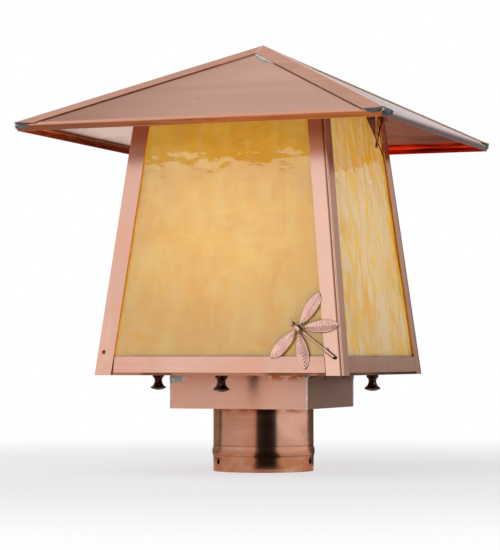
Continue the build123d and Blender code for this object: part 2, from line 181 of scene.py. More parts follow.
def makeCopper(name, **changes):
    look = {**copperLook, **changes}
    material = newMaterial(name)
    place, normal = coords()
    lines = noiseOf(place, look["grain"], 2.0)
    clouds = noiseOf(place, look["cloud"], 3.0, 0.55, 0.6)
    specks = noiseOf(place, look["speckScale"], 4.0, 0.6, 1.2)
    blush = noiseOf(place, look["blushScale"], 3.0, 0.6, 0.8)
    color = wash(look["pale"], look["deep"], clouds, 0.34, 0.66)
    color = wash(color, look["stain"], specks, 0.58, 0.8, look["speck"])
    color = wash(color, look["blushTint"], blush, 0.45, 0.63, look["blush"])
    color = wash(color, look["line"], lines, 0.3, 0.7, look["lineTint"])
    for paint in look["marks"]:
        color = paint(place, normal, color)
    edge = look["edge"](place) if callable(look["edge"]) else look["edge"]
    rough = ramp(lines, 0.25, 0.75, *look["rough"], False)
    if look["dull"]:
        under = ramp(parts(normal)["Z"], *facingDown)
        rough = maths("MAXIMUM", rough, times(under, look["dull"]))
    tangent = addNode("Tangent", direction_type="RADIAL", axis="Z").outputs[0]
    surface({
        "Base Color": color, "Metallic": 1.0, "Specular Tint": edge, "Roughness": rough,
        "Anisotropic": look["brushed"], "Anisotropic Rotation": look["spin"], "Tangent": tangent,
        "Normal": bump(lines, look["lineDepth"], bumpStep, look["soften"])})
    return material


# Roof sheet, partly painted light: a painted highlight on the fold, painted reflections browner on the lip
# and red inside it, painted shade under the eaves, and a painted sheen darker towards the left.
# Values come one for each side, or one for front and back and one for right and left.

# folds are painted highlights; lips, insides, brightUnder and the red band by the lip are painted
# reflections; unders are painted shade; left and right end the painted sheen, and side is the side panels'
# painted grey sheen
roofLook = {
    "lips": ((0.60, 0.20, 0.058), (0.84, 0.57, 0.50)), "folds": ((0.66, 0.33, 0.23), (0.60, 0.40, 0.35)),
    "lipLeft": (0.31, 0.135, 0.085), "lipDark": (0.26, 0.075, 0.03), "lipStreaks": (25, 500, 700),
    "unders": ((0.52, 0.22, 0.13), (0.74, 0.49, 0.39), (0.64, 0.275, 0.185), (0.86, 0.57, 0.44)),
    "dulls": (0.55, 0.55, 0.55, 0.0),
    "insides": ((1.0, 0.78, 0.60), (0.66, 0.055, 0.02), (1.0, 0.075, 0.03), (0.72, 0.20, 0.07)),
    "soots": ((0.22, 0.02, 0.01), (0.22, 0.02, 0.01), (0.20, 0.015, 0.01), (0.30, 0.05, 0.02)),
    "smudges": ((0.50, 0.30, 0.23), (0.50, 0.30, 0.23), (0.30, 0.13, 0.09), (0.58, 0.35, 0.26)),
    "smudged": 0.6, "mottle": (18, 40, 40), "redReflectionDepths": (6.1, 6.1, 6.1, 4.6), "redReflectionBlur": 0.6,
    "brightUnder": (17, 2), "leftToRight": (-115, 30), "left": (0.58, 0.51, 0.52),
    "right": (1.0, 0.86, 0.82), "side": (0.72, 0.75, 0.80, 1.0)}
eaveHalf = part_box("roof_panel_front")[1].x


def paintedRoofSheen(quarter, place):
    # painted sheen at a low angle: the edge tint goes greyer and darker towards the left of each panel
    across = parts(toFront(place, quarter))["X"]
    return wash(roofLook["left"], roofLook["right"], across, *inMetres(roofLook["leftToRight"]))


def roofMarks(quarter, place, normal, color, look=roofLook):
    facing = parts(toFront(normal, quarter))
    outward = times(facing["Y"], -1.0)
    turned = toFront(place, quarter)
    spot = parts(turned)
    streaks = noiseOf(turned, look["lipStreaks"], 3.0, 0.6, 0.5)
    # painted highlight: brighter where the fold turns outward
    color = wash(color, look["folds"][quarter % 2], outward, 0.60, 0.72)
    # painted reflection on the lip: browner, and on the front and back darker towards the left
    lipTint = look["lips"][quarter % 2]
    if quarter % 2 == 0:
        lipTint = wash(look["lipLeft"], lipTint, spot["X"], *inMetres(look["leftToRight"]))
        lipTint = wash(lipTint, look["lipDark"], streaks, 0.45, 0.7, 0.6)
    lip = times(ramp(outward, 0.80, 0.93), ramp(facing["Z"], 0.25, -0.2))
    color = tint(lip, color, lipTint)
    # painted red reflection inside the lip, with sooty streaks
    hidden = look["insides"][quarter]
    inside = wash(hidden, look["soots"][quarter], streaks, 0.45, 0.65)
    # underside in painted shade, going over to the painted red reflection beside the lip
    fromEave = maths("ADD", spot["Y"], eaveHalf)
    mottle = noiseOf(turned, look["mottle"], 3.0, 0.6, 1.0)
    sheet = wash(look["unders"][quarter], look["smudges"][quarter], mottle, 0.38, 0.64, look["smudged"])
    # painted light: the front's underside lighter towards the lip
    if quarter == 0:
        sheet = wash(sheet, hidden, fromEave, *inMetres(look["brightUnder"]))
    redDepth, blur = look["redReflectionDepths"][quarter], look["redReflectionBlur"]
    under = wash(sheet, inside, fromEave, *inMetres((redDepth + blur, redDepth - blur)))
    color = wash(color, under, facing["Z"], *facingDown)
    # painted red reflection on the lip's inner face
    return wash(color, inside, outward, -0.6, -0.85)


# Box: a rusty run along the top, stronger to the right, where the sheet is paler

boxMarks = {
    "streaks": (60, 60, 160), "top": (71.5, 76.5), "rustRight": (-5, 25), "rust": (0.52, 0.15, 0.04),
    "paleRight": (0, 55), "pale": (0.88, 0.55, 0.43)}


def boxRust(place, normal, color, look=boxMarks):
    spot = parts(place)
    streaks = noiseOf(place, look["streaks"], 4.0, 0.65, 1.0)
    high = ramp(spot["Z"], *inMetres(look["top"]))
    right = ramp(spot["X"], *inMetres(look["rustRight"]), 0.1)
    share = times(times(high, right), ramp(streaks, 0.45, 0.55))
    color = wash(color, look["pale"], spot["X"], *inMetres(look["paleRight"]), 0.8)
    return tint(share, color, look["rust"])


# The cage leans in as it rises; open is the half width between its posts, carried down to level 0

cage = {"taper": 0.115, "legWidth": 14.1, "paneInset": 5.5}
cage["bottom"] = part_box("corner_post_front_right")[0].z / mm
cage["half"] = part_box("corner_post_front_right")[1].x / mm
cage["edge"] = cage["half"] + cage["taper"] * cage["bottom"]
cage["open"] = cage["edge"] - cage["legWidth"]
lean = atan(cage["taper"])


# Posts: painted shade in the groove beside the bend, and painted light on the front right one's front leg

postMarks = {
    "grooveFrom": (1.2, 1.5), "grooveTo": (2.8, 2.4), "groove": (0.26, 0.085, 0.05), "frontLit": 0.48,
    "frontLitTint": (0.97, 0.64, 0.52)}


def postGrooveShade(quarter, place, normal, color):
    # painted shade: a dark band in the groove beside the bend
    spot = parts(toFront(place, quarter))
    reach = maths("ADD", spot["X"], times(spot["Z"], cage["taper"]))
    inset = maths("SUBTRACT", cage["edge"] * mm, reach)
    ends = [ramp(inset, *inMetres(postMarks[end])) for end in ("grooveFrom", "grooveTo")]
    return tint(times(*ends), color, postMarks["groove"])


def paintedFrontLight(place, normal, color):
    # painted light: paler where the leg faces the front
    forward = dotOf(normal, (0, -1, 0))
    return wash(color, postMarks["frontLitTint"], forward, 0.5, 0.9, postMarks["frontLit"])


# Painted shade: a dark slit between a rail's left end and the post, wider at its foot

slitLook = {"width": 1.7, "widening": 0.06, "blur": 0.3, "color": (0.045, 0.025, 0.03)}


def railSlitShade(place, normal, color, look=slitLook):
    spot = parts(place)
    slope = look["widening"] - cage["taper"]
    fromPost = maths("ADD", maths("ADD", spot["X"], cage["open"] * mm), times(spot["Z"], slope))
    wide = look["width"] + look["widening"] * cage["bottom"]
    return wash(color, look["color"], fromPost, *inMetres((wide + look["blur"], wide - look["blur"])))


# Collar: darker to the left, red-brown blotches denser near the rim and below the box, and painted shade
# in the creases at the bead's edges and in the bore

collarMarks = {
    "left": (2, -18), "leftTint": (0.46, 0.24, 0.165), "blotches": (40, 40, 90), "low": (21, 11),
    "lowTint": (0.50, 0.195, 0.095), "high": (45, 50), "highTint": (0.36, 0.105, 0.06),
    "lines": (12.9, 20.8), "lineWidth": (0.8, 0.2), "lineTint": (0.30, 0.105, 0.06), "bore": (14, 4),
    "boreShade": (0.02, 0.009, 0.007)}


def collarBlotchesAndShade(place, normal, color, look=collarMarks):
    spot = parts(place)
    blotch = noiseOf(place, look["blotches"], 4.0, 0.6, 1.5)
    color = wash(color, look["leftTint"], spot["X"], *inMetres(look["left"]), 0.5)
    low = ramp(spot["Z"], *inMetres(look["low"]), 0.12)
    color = tint(times(low, ramp(blotch, 0.34, 0.62, 0.35)), color, look["lowTint"])
    high = ramp(spot["Z"], *inMetres(look["high"]))
    color = tint(times(high, ramp(blotch, 0.36, 0.58)), color, look["highTint"])
    # painted shade in the creases at the bead's edges
    for line in look["lines"]:
        away = maths("ABSOLUTE", maths("SUBTRACT", spot["Z"], line * mm))
        color = wash(color, look["lineTint"], away, *inMetres(look["lineWidth"]), 0.6)
    # painted shade: the bore and the holes, which don't face outward, are painted dark
    outward = dotOf(stretched(place, (1, 1, 0)), normal)
    return wash(color, look["boreShade"], outward, *inMetres(look["bore"]))


# Small round dark spots

darkSpots = {
    "roof": {"place": (-10.8, -113.2, 289.6), "radius": 3.4, "share": 0.45, "color": (0.25, 0.13, 0.10)},
    "post": {"place": (-95.7, -100.8, 95.5), "radius": 2.5, "share": 1.0, "color": (0.085, 0.022, 0.011)}}
darkSpotCore = 0.25


def darkSpotMark(look, place, normal, color):
    away = lengthOf(stretched(place, (1, 1, 1), shift=[-part * mm for part in look["place"]]))
    radius = look["radius"] * mm
    return wash(color, look["color"], away, radius, darkSpotCore * radius, look["share"])


alongX, alongY, alongZ = (6, 900, 900), (900, 6, 900), (900, 900, 6)
roofTints = {
    "pale": (0.52, 0.30, 0.22), "deep": (0.46, 0.26, 0.19), "stain": (0.44, 0.28, 0.20),
    "line": (0.46, 0.265, 0.20), "rough": (0.2, 0.28), "blush": 0.12, "blushTint": (0.50, 0.27, 0.18)}
roofLines = (
    {"grain": alongX, "cloud": (6, 22, 22), "lineTint": 0.2, "lineDepth": 0.02},
    {"grain": alongY, "cloud": (22, 6, 22), "lineTint": 0.08, "lineDepth": 0.004,
     "edge": roofLook["side"]})
capTints = {
    "pale": (0.56, 0.315, 0.235), "deep": (0.48, 0.265, 0.195), "stain": (0.46, 0.24, 0.16),
    "line": (0.47, 0.27, 0.20), "edge": (0.86, 0.69, 0.63, 1.0), "lineTint": 0.15, "lineDepth": 0.01,
    "brushed": 0.0, "cloud": (30, 30, 30), "blush": 0.2, "blushTint": (0.52, 0.26, 0.17)}
postTints = {
    "grain": alongZ, "brushed": 0.0, "cloud": (20, 20, 7), "rough": (0.2, 0.25), "lineDepth": 0.01,
    "lineTint": 0.2}
baseTints = {
    "pale": (0.79, 0.48, 0.375), "deep": (0.72, 0.42, 0.32), "stain": (0.58, 0.27, 0.16),
    "line": (0.66, 0.38, 0.29), "rough": (0.27, 0.275), "brushed": 0.9, "lineTint": 0.34,
    "lineDepth": 0.003}
# painted shade: the base plate's edge, recessed under the rails, is dark brown
shadedPlateTints = {
    **baseTints, "pale": (0.30, 0.115, 0.06), "deep": (0.24, 0.085, 0.045), "line": (0.2, 0.08, 0.05)}
collarTints = {
    **baseTints, "pale": (0.72, 0.40, 0.295), "deep": (0.46, 0.23, 0.155), "rough": (0.18, 0.25),
    "soften": (1.0, 1.0, 0.35), "edge": (0.80, 0.60, 0.52, 1.0), "brushed": 0.4, "cloud": (30, 30, 40),
    "speck": 0.5, "blush": 0.6, "blushScale": 34.0, "blushTint": (0.66, 0.285, 0.165)}
wireTints = {
    "grain": (300, 300, 300), "pale": (0.17, 0.07, 0.05), "deep": (0.08, 0.03, 0.025),
    "line": (0.2, 0.08, 0.06), "brushed": 0.0}

roofCopper = [makeCopper("copper_roof_" + side, **{
    "edge": partial(paintedRoofSheen, quarter), **roofTints, **roofLines[quarter % 2],
    "dull": roofLook["dulls"][quarter],
    "marks": (partial(roofMarks, quarter), partial(darkSpotMark, darkSpots["roof"]))})
    for quarter, side in enumerate(sides)]
capCopper = makeCopper("copper_hip_cap", grain=(120, 120, 120), **capTints)
frameX = makeCopper("copper_rail_lengthwise", grain=alongX, marks=(railSlitShade,))
frameY = makeCopper("copper_rail_crosswise", grain=alongY)
postCopper = [makeCopper(
    "copper_post_" + corner, **postTints,
    marks=((paintedFrontLight,) if quarter == 0 else ()) + (
        partial(postGrooveShade, quarter), partial(darkSpotMark, darkSpots["post"])))
    for quarter, corner in enumerate(corners)]
boxCopper = makeCopper("copper_box", grain=(3, 3, 700), marks=(boxRust,), **baseTints)
plateCopper = makeCopper("copper_plate", **shadedPlateTints)
collarCopper = makeCopper("copper_collar", grain=(7, 7, 900), marks=(collarBlotchesAndShade,), **collarTints)
wireCopper = makeCopper("copper_wire", **wireTints)


# Ornament copper: bright on what stands proud of the cage face, patina blackened in the hollows, and
# painted shade towards the cage face, on the tail's flanks and on the body's upper side

ornamentTints = {
    "bright": (0.92, 0.56, 0.47), "dim": (0.78, 0.46, 0.40), "hollow": (0.24, 0.095, 0.065),
    "sunkPatinaAndShade": (0.075, 0.028, 0.02), "flank": (0.05, 0.02, 0.014), "shaded": (0.02, 0.01, 0.008),
    "shadedSide": (0.75, -0.1, 0.65)}


def makeOrnament(name, low, high, scale, shaded=0.0, flanks=None, look=ornamentTints):
    # low and high: millimetres off the cage face between which the copper turns bright
    material = newMaterial(name)
    place, normal = coords()
    outward = (0, -cos(lean), sin(lean))
    facePlane = (cage["half"] * cos(lean) + cage["bottom"] * sin(lean)) * mm
    proud = maths("SUBTRACT", dotOf(place, outward), facePlane)
    tarnish = noiseOf(place, scale, 3.0, 0.6, 0.8)
    pointed = addNode("NewGeometry").outputs["Pointiness"]
    color = wash(look["bright"], look["dim"], tarnish, 0.35, 0.68)
    color = wash(color, look["hollow"], pointed, 0.485, 0.44, 0.75)
    # darker towards the cage face: patina in the low veins, painted shade at the edges and under the body
    color = wash(color, look["sunkPatinaAndShade"], proud, high * mm, low * mm)
    # painted shade on the flanks, which turn away from the outward side
    if flanks:
        color = wash(color, look["flank"], dotOf(normal, outward), *flanks)
    if shaded:
        # painted shade: blacker on the side that faces up and to the right
        upper = dotOf(normal, look["shadedSide"])
        color = wash(color, look["shaded"], upper, 0.42, 0.66, shaded)
    surface({
        "Base Color": color, "Metallic": 1.0, "Roughness": ramp(tarnish, 0.3, 0.7, 0.22, 0.34),
        "Normal": bump(tarnish, 0.03, bumpStep)})
    return material


# Mottled finishes: two tints by one noise, and roughness and relief by another.
# Bronze is near black, mottled with red-brown; solder is grey, a little green, frosted and pitted.

bronzeLook = {
    "tones": ((0.035, 0.016, 0.013), (0.19, 0.07, 0.045)), "clouds": (420.0, 3.0, 0.6), "mix": (0.5, 0.72),
    "grain": ((30, 30, 1500), 2.0), "metallic": 1.0, "rough": (0.2, 0.34), "bump": (0.1, bumpStep)}
solderLook = {
    "clouds": (70.0, 3.0, 0.6, 1.5), "mix": (0.35, 0.65), "grain": (260.0, 4.0, 0.65, 0.8),
    "metallic": 0.85, "rough": (0.25, 0.48), "bump": (0.25, 0.3 * mm)}


def makeMottled(name, look):
    material = newMaterial(name)
    place = coords()[0]
    grain = noiseOf(place, *look["grain"])
    surface({
        "Base Color": wash(*look["tones"], noiseOf(place, *look["clouds"]), *look["mix"]),
        "Metallic": look["metallic"], "Roughness": ramp(grain, 0.3, 0.7, *look["rough"]),
        "Normal": bump(grain, *look["bump"])})
    return material


def makeSolder(name, *tones):
    return makeMottled(name, {**solderLook, "tones": tones})


def makePlain(name, color, rough, scale, metallic=1.0, dim=0.7):
    # hardware inside the lantern: one tint with light mottling
    return makeMottled(name, {
        "tones": (color, tuple(dim * part for part in color)), "clouds": (scale, 3.0, 0.6),
        "mix": (0.3, 0.7), "grain": (scale, 3.0, 0.6), "metallic": metallic, "rough": rough,
        "bump": (0.05, bumpStep)})


# Amber art glass: honey streaks pulled up the pane, pale wisps, a painted glow about the lamp's place, and
# a painted orange edge glow beside the frame.
# Values come one for each side, or one for front and back and one for right and left.

glassLook = {
    "honeys": ((0.68, 0.350, 0.031), (0.72, 0.41, 0.033)), "pale": (0.70, 0.42, 0.058),
    "oranges": ((0.66, 0.310, 0.017), (0.70, 0.350, 0.018)), "cream": (0.68, 0.475, 0.247),
    "edges": ((0.93, 0.40, 0.016), (1.0, 0.46, 0.03)), "edgeWidths": (1.5, 5.0), "edgeEnd": 0.4,
    "glow": (90.0, 68.0, 195.0), "rims": (0.70, 0.82, 0.8, 0.8), "wisps": (0.6, 0.8, 0.8, 0.8),
    "creams": (0.14, 0.92, 0.5, 0.5), "creamFade": (232, 256), "creamLeft": 0.72,
    "rough": 0.04, "ior": 1.68, "specular": (1.0, 0.45, 0.7, 0.7), "ripples": (0.9, 0.25, 0.4, 0.4),
    "rippleDepth": 0.25 * mm, "broadScale": (30, 30, 20), "wispScale": (80, 80, 40),
    "creamScale": (70, 70, 18), "rippleScale": (150, 150, 190)}


# Painted reflection: a brown patch that spreads from the wire tie's knot, above one slanted line and short
# of another, with a painted orange glow beside it

patchLook = {
    "foot": (76.4, 251.3), "rise": (-43.3, 36.0), "knot": (55.4, 271.9), "lean": (4.7, 17.9), "width": 2.5,
    "blur": 0.8, "rim": (-3.2, -1.6), "brown": (-0.8, 0.4), "color": (0.075, 0.022, 0.012)}


def paintedGlassReflection(turned, look=patchLook):
    # shares of the painted glowing rim and of the painted brown reflection
    def fromLine(place, run):
        size = hypot(*run)
        back = stretched(turned, (1, 0, 1), shift=(-place[0] * mm, 0, -place[1] * mm))
        return dotOf(back, (run[1] / size, 0, -run[0] / size))

    above = fromLine(look["foot"], look["rise"])
    beyond = fromLine(look["knot"], look["lean"])
    near = ramp(above, *inMetres((look["width"] + look["blur"], look["width"])))
    reach = maths("MAXIMUM", near, ramp(beyond, *inMetres((look["blur"], -look["blur"]))))
    return [times(reach, ramp(above, *inMetres(look[part]))) for part in ("rim", "brown")]


def makeGlass(name, quarter, look=glassLook):
    pair = quarter % 2
    material = newMaterial(name)
    turned = toFront(coords()[0], quarter)
    spot = parts(turned)
    broad = noiseOf(turned, look["broadScale"], 2.0, 0.5, 0.4)
    wisps = noiseOf(turned, look["wispScale"], 2.0, 0.45, 0.4)
    cream = noiseOf(turned, look["creamScale"], 2.0, 0.5, 1.6)
    ripples = noiseOf(turned, look["rippleScale"], 2.0)
    color = wash(look["oranges"][pair], look["honeys"][pair], broad, 0.33, 0.64)
    color = wash(color, look["pale"], wisps, 0.4, 0.7, look["wisps"][quarter])
    most = look["creams"][quarter]
    # painted shade: the cream wisps fade towards the top of the pane, under the eave
    fade = ramp(spot["Z"], *inMetres(look["creamFade"]), most, look["creamLeft"] * most)
    color = tint(times(ramp(cream, 0.37, 0.64), fade), color, look["cream"])
    # painted glow: lighter about the lamp's place behind the glass
    wide, tall, level = look["glow"]
    fromLamp = stretched(turned, (1 / (wide * mm), 0, 1 / (tall * mm)), shift=(0, 0, -level / tall))
    shade = ramp(lengthOf(fromLamp), 0.2, 1.5, 1.0, look["rims"][quarter])
    color = vectorMaths("SCALE", {0: color, "Scale": shade})
    # painted edge glow: deeper orange beside the nearer post's inner edge, which leans in as it rises
    reach = maths("ADD", maths("ABSOLUTE", spot["X"]), times(spot["Z"], cage["taper"]))
    border = inMetres(cage["open"] - width for width in (look["edgeWidths"][pair], look["edgeEnd"]))
    color = wash(color, look["edges"][pair], reach, *border)
    if quarter == 1:
        # painted reflection beside the wire tie, with its painted glowing rim
        rim, brown = paintedGlassReflection(turned)
        color = tint(rim, color, look["edges"][0])
        color = tint(brown, color, patchLook["color"])
    surface({
        "Base Color": color, "Roughness": look["rough"], "IOR": look["ior"],
        "Specular IOR Level": look["specular"][quarter],
        "Normal": bump(ripples, look["ripples"][quarter], look["rippleDepth"])})
    return material


bronze = makeMottled("dark_bronze", bronzeLook)
solder = makeSolder("grey_solder", (0.44, 0.45, 0.43), (0.17, 0.20, 0.20))
eaveSolder = makeSolder("dark_solder", (0.15, 0.17, 0.17), (0.035, 0.045, 0.045))
seamSolder = makeSolder("seam_solder", (0.17, 0.11, 0.09), (0.035, 0.035, 0.035))
# pale enough to paint the highlights on the apex, eave-corner and box-corner beads
highlightSolder = makeSolder("solder_painted_highlight", (0.95, 0.90, 0.87), (0.62, 0.60, 0.58))
steel = makePlain("zinc_steel", (0.55, 0.55, 0.53), rough=(0.25, 0.4), scale=300.0)
porcelain = makePlain("white_porcelain", (0.80, 0.79, 0.75), (0.12, 0.2), 60.0, metallic=0.0, dim=0.93)
lampBrass = makePlain("lamp_brass", (0.70, 0.52, 0.24), rough=(0.2, 0.35), scale=200.0)
lampGlass = makePlain("frosted_lamp", (0.86, 0.85, 0.82), (0.3, 0.42), 80.0, metallic=0.0, dim=0.95)
bodyCopper = makeOrnament("copper_dragonfly_body", low=0.8, high=2.2, scale=500.0, shaded=0.97)
tailCopper = makeOrnament("copper_dragonfly_tail", low=1.2, high=1.8, scale=300.0, flanks=(0.92, 0.70))
wingCopper = makeOrnament("copper_dragonfly_wing", low=0.45, high=0.62, scale=160.0)
print("materials made")


# Mesh helpers: a shape is a list of points and a list of faces

def addObject(name, data):
    made = bpy.data.objects.new(name, data)
    bpy.context.scene.collection.objects.link(made)
    return made


def addMesh(name, shape, material):
    mesh = bpy.data.meshes.new(name)
    mesh.from_pydata(shape[0], [], shape[1])
    mesh.materials.append(material)
    return addObject(name, mesh)


def addPiece(name, shape, material, body, slot, sharp=40.0):
    piece = addMesh(name, shape, material)
    form = bmesh.new()
    form.from_mesh(piece.data)
    bmesh.ops.recalc_face_normals(form, faces=form.faces)
    form.to_mesh(piece.data)
    form.free()
    piece.data.shade_smooth()
    piece.data.set_sharp_from_angle(angle=radians(sharp))
    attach(piece, body)
    return piece


def joined(*shapes):
    verts, faces = [], []
    for points, loops in shapes:
        faces += [tuple(len(verts) + k for k in loop) for loop in loops]
        verts += points
    return verts, faces


def slab(look, point):
    # closed sheet with a plain back: point(i, j, back) for i up to rows, j up to columns
    rows, columns = look["rows"], look["columns"]
    wide = columns + 1
    verts = [point(i, j, False) for i in range(rows + 1) for j in range(wide)]
    faces = []
    for i in range(rows):
        for j in range(columns):
            a = i * wide + j
            faces.append((a, a + 1, a + wide + 1, a + wide))
    rim = [(0, j) for j in range(columns)] + [(i, columns) for i in range(rows)]
    rim += [(rows, j) for j in range(columns, 0, -1)] + [(i, 0) for i in range(rows, 0, -1)]
    first = len(verts)
    verts += [point(i, j, True) for i, j in rim]
    for k, (i, j) in enumerate(rim):
        after = (k + 1) % len(rim)
        faces.append((i * wide + j, first + k, first + after, rim[after][0] * wide + rim[after][1]))
    faces.append(tuple(range(first, len(verts))))
    return verts, faces


def stepped(steps, at):
    return [at(step / steps) for step in range(steps + 1)]


def tube(rings, around=10, flat=None):
    # round bar through rings of a point and a radius in millimetres; flat squeezes it along a direction
    verts, faces = [], []
    last = len(rings) - 1
    side = None
    for k, (point, radius) in enumerate(rings):
        ahead = (rings[min(k + 1, last)][0] - rings[max(k - 1, 0)][0]).normalized()
        side = ahead.orthogonal() if side is None else side - ahead * side.dot(ahead)
        side.normalize()
        other = ahead.cross(side)
        for step in range(around):
            turn = 2 * pi * step / around
            spoke = (side * cos(turn) + other * sin(turn)) * (radius * mm)
            if flat:
                spoke -= flat[0] * spoke.dot(flat[0]) * (1 - flat[1])
            verts.append(point + spoke)
    for k in range(last):
        for step in range(around):
            a, b = k * around + step, k * around + (step + 1) % around
            faces.append((a, b, b + around, a + around))
    faces.append(tuple(range(around)))
    faces.append(tuple(last * around + step for step in range(around)))
    return verts, faces


def bead(look, at, around=10, flat=None):
    # tube in even steps: at(share) gives the point and the radius
    return tube(stepped(look["steps"], at), around, flat)


def turnedBy(quarter, x, y, z):
    # point given in millimetres for the front, turned to another side
    return Matrix.Rotation(quarter * pi / 2, 3, "Z") @ (Vector((x, y, z)) * mm)


def onFace(quarter, across, up, out):
    # point on a cage face: millimetres across, up the slope and outward
    y = -cage["half"] + up * sin(lean) - out * cos(lean)
    z = cage["bottom"] + up * cos(lean) + out * sin(lean)
    return turnedBy(quarter, across, y, z)


def wobble(x, y, seed):
    return noise.noise(Vector((x, y, seed)))


# Panes: hand-rolled glass, so the outer side is gently wavy; a wave is its width, length, depth and seed

paneLook = {
    "low": 3.7, "high": 223.4, "front": 1.0, "back": 4.0, "rows": 140, "columns": 130,
    "waves": ((19.0, 19.0, 1.0, 3.1), (7.0, 24.0, 0.45, 8.7), (12.0, 5.0, 0.45, 5.3)),
    "calm": (1.0, 1.0, 0.55, 0.55)}


def makePane(quarter, look=paneLook):
    def point(i, j, back):
        up = look["low"] + (look["high"] - look["low"]) * i / look["rows"]
        half = cage["half"] - up * sin(lean) - cage["paneInset"]
        across = half * (2 * j / look["columns"] - 1)
        if back:
            return onFace(quarter, across, up, -look["back"])
        dip = 0.0
        for width, length, depth, seed in look["waves"]:
            dip += depth * (0.5 + 0.5 * wobble(across / width, up / length, seed + quarter))
        return onFace(quarter, across, up, -look["front"] - look["calm"][quarter] * dip)

    side = sides[quarter]
    glass = makeGlass("amber_glass_" + side, quarter)
    pane = addPiece("wavy_pane_" + side, slab(look, point), glass, "head", "amber_glass")
    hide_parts("glass_pane_" + side)


for quarter in range(4):
    makePane(quarter)
print("panes made")


# Dragonfly wings: pressed sheet with a rim, a midrib and slanted veins

ornament = {"fromEdge": 37.0, "height": 35.8, "turn": -37.0, "rootOffset": 2.0}
wingLook = {
    "length": 29.4, "width": 9.7, "pulls": (0.30, 0.85), "swells": (0.60, 0.80), "trim": 0.004,
    "base": 0.05, "sheet": 0.60, "dome": 0.35, "rim": 0.16, "rimFrom": 0.86, "midrib": 0.10,
    "midribWidth": 0.08, "veinStep": 2.5, "veinSlant": 1.1, "veinSharp": 6, "veinFade": 6, "rolled": 0.89,
    "rolledDown": 0.6, "rows": 140, "columns": 48}
wings = {
    "fore_wing_": {"place": -1.0, "turn": 95.0, "vein": 0.07},
    "hind_wing_": {"place": 1.6, "turn": 41.0, "vein": 0.25}}


def onOrnament(x, y, out):
    # x runs from the head to the tail, y to the upper wings
    turn = radians(ornament["turn"])
    across = cage["half"] - ornament["fromEdge"] + x * cos(turn) - y * sin(turn)
    up = ornament["height"] + x * sin(turn) + y * cos(turn)
    return onFace(0, across, up, out)


def makeWing(name, wing, hand, look=wingLook):
    turn = hand * radians(wing["turn"])

    def outline(i):
        # the CAD wing's edge, a curve from root to tip
        t = look["trim"] + (1 - 2 * look["trim"]) * i / look["rows"]
        a, b, c = 3 * t * (1 - t) ** 2, 3 * t * t * (1 - t), t ** 3
        along = look["length"] * (a * look["pulls"][0] + b * look["pulls"][1] + c)
        return along, look["width"] * (a * look["swells"][0] + b * look["swells"][1])

    def relief(along, aside, share):
        height = look["base"] + look["sheet"] + look["dome"] * (1 - share ** 2)
        phase = (along + look["veinSlant"] * aside) / look["veinStep"]
        groove = (0.5 + 0.5 * cos(2 * pi * phase)) ** look["veinSharp"]
        if share > look["rimFrom"]:
            onRim = (share - look["rimFrom"]) / (1 - look["rimFrom"])
            height += look["rim"] * sin(pi * onRim / 2)
        else:
            height -= wing["vein"] * groove * min(1.0, look["veinFade"] * (look["rimFrom"] - share))
        if share > look["rolled"]:
            height *= 1 - look["rolledDown"] * ((share - look["rolled"]) / (1 - look["rolled"])) ** 2
        return height + look["midrib"] * exp(-(share / look["midribWidth"]) ** 2)

    def point(i, j, back):
        along, half = outline(i)
        share = 2 * j / look["columns"] - 1
        aside = half * share
        x = wing["place"] + along * cos(turn) - aside * sin(turn)
        y = hand * ornament["rootOffset"] + along * sin(turn) + aside * cos(turn)
        return onOrnament(x, y, look["base"] if back else relief(along, abs(aside), abs(share)))

    piece = addPiece("pressed_" + name, slab(look, point), wingCopper, "head", "copper_ornament")
    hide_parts(name)


for pair, wing in wings.items():
    makeWing(pair + "upper", wing, 1)
    makeWing(pair + "lower", wing, -1)


# Body and tail: turned along the ornament's length, each radius the largest of a few plain forms

bodyLook = {
    "level": 3.1, "from": -7.3, "to": 4.9, "steps": 90, "neck": 1.15, "neckEnd": 0.5,
    "bulbs": ((-5.2, 2.1, 2.05), (0.9, 4.0, 2.35))}
feelerLook = {"radii": (0.42, 0.21), "length": 5.2, "spread": 28.0, "rise": 0.3, "steps": 6}
tailLook = {
    "level": 1.75, "from": 4.0, "to": 37.9, "steps": 120, "rod": 1.0, "sleeve": 1.55, "sleeveFrom": 27.6}
leastRadius = 0.05


def oval(x, center, half, radius):
    return radius * sqrt(max(1 - ((x - center) / half) ** 2, 0.0))


def bodyRadius(x, look=bodyLook):
    ends = min((x - look["from"]) / look["neckEnd"], (look["to"] - x) / look["neckEnd"], 1.0)
    neck = look["neck"] * max(ends, 0.0) if x > look["bulbs"][0][0] else 0.0
    return max(leastRadius, neck, *(oval(x, *bulb) for bulb in look["bulbs"]))


def tailRadius(x):
    past, sleeve = tailLook["to"] - x, tailLook["sleeve"]
    if x < tailLook["sleeveFrom"]:
        return tailLook["rod"]
    return max(leastRadius, oval(past, sleeve, sleeve, sleeve)) if past < sleeve else sleeve


def turnedForm(look, radius):
    def at(share):
        x = look["from"] + (look["to"] - look["from"]) * share
        return onOrnament(x, 0, look["level"]), radius(x)
    return bead(look, at, 20)


def feeler(hand, look=feelerLook):
    turn = radians(180 + hand * look["spread"])

    def at(share):
        reach = look["length"] * share
        x = bodyLook["bulbs"][0][0] + reach * cos(turn)
        place = onOrnament(x, reach * sin(turn), bodyLook["level"] + look["rise"] * share)
        return place, look["radii"][0] + (look["radii"][1] - look["radii"][0]) * share
    return bead(look, at, 8)


body = addPiece("turned_body", joined(turnedForm(bodyLook, bodyRadius), feeler(1), feeler(-1)), bodyCopper,
                "head", "copper_ornament")
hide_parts("dragonfly_body")
tail = addPiece("turned_tail", turnedForm(tailLook, tailRadius), tailCopper, "head", "copper_ornament")
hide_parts("dragonfly_tail")
print("dragonfly pressed")


# Wire ties: two strands that meet below the eave and are twisted together

